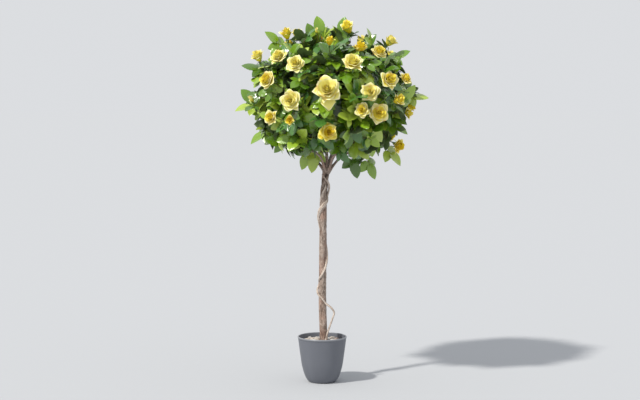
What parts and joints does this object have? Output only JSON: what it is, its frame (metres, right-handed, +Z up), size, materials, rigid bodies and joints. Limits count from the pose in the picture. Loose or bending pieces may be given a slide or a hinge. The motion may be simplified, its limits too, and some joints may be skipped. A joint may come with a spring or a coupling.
{
  "type": "artificial standard rose in a pot",
  "caption": "Standard rose tree with a round head of yellow roses and glossy leaves on a tall twined stem, in a plain grey pot topped with pale pebbles",
  "frame": {"origin": "middle of the pot's flat underside, on the ground", "axes": "X to the viewer's right, -Y towards the viewer (the pictured side), Z up"},
  "size_m": [0.6334, 0.5657, 1.1938],
  "materials": {
    "pot_plastic": "plain grey plastic, slightly sheeny",
    "pot_filling": "rough cast filling that weights the pot",
    "pale_pebbles": "washed pale pebbles, cream, pinkish and white",
    "bark": "dry natural bark, pale brown",
    "foliage": "glossy green leaves with soft yellow roses"
  },
  "bodies": {
    "root": {"pot": "pot_plastic", "fill": "pot_filling", "pebbles": "pale_pebbles", "trunk": "bark", "twiner": "bark", "climber": "bark", "bough_top": "bark", "bough_upper_1": "bark", "bough_upper_2": "bark", "bough_upper_3": "bark", "bough_upper_4": "bark", "bough_lower_1": "bark", "bough_lower_2": "bark", "bough_lower_3": "bark", "bough_lower_4": "bark", "bough_lower_5": "bark", "bough_lower_6": "bark", "foliage_top": "foliage", "foliage_upper_1": "foliage", "foliage_upper_2": "foliage", "foliage_upper_3": "foliage", "foliage_upper_4": "foliage", "foliage_lower_1": "foliage", "foliage_lower_2": "foliage", "foliage_lower_3": "foliage", "foliage_lower_4": "foliage", "foliage_lower_5": "foliage", "foliage_lower_6": "foliage"}
  },
  "joints": []
}
